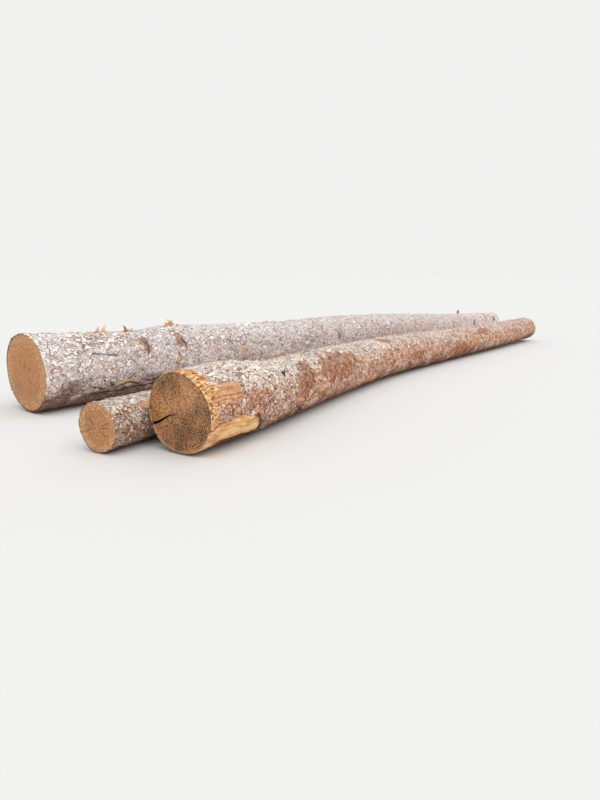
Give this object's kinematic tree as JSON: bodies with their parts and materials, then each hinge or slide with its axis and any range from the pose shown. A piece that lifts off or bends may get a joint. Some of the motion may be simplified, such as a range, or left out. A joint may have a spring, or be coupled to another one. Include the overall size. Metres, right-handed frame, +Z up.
{
  "type": "stack of logs",
  "caption": "Long tapered softwood saw logs lying side by side in one low layer, bark on, with sawn ends, a splinter-torn butt and a slight bow.",
  "frame": {"origin": "middle of the footprint of the logs, on the ground they lie on", "axes": "+X along the logs from their thick ends to their thin ends, +Y from the front log to the rear log, +Z up"},
  "size_m": [9.7022, 2.408, 0.6437],
  "materials": {
    "front_bark": "flaky orange-pink bark with pale scuffed patches",
    "middle_bark": "half-peeled bark, cream and pink",
    "rear_bark": "flaky pinkish grey bark, whitish where scuffed"
  },
  "bodies": {
    "root": {"front_log": "front_bark", "middle_log": "middle_bark", "rear_log": "rear_bark"}
  },
  "joints": []
}
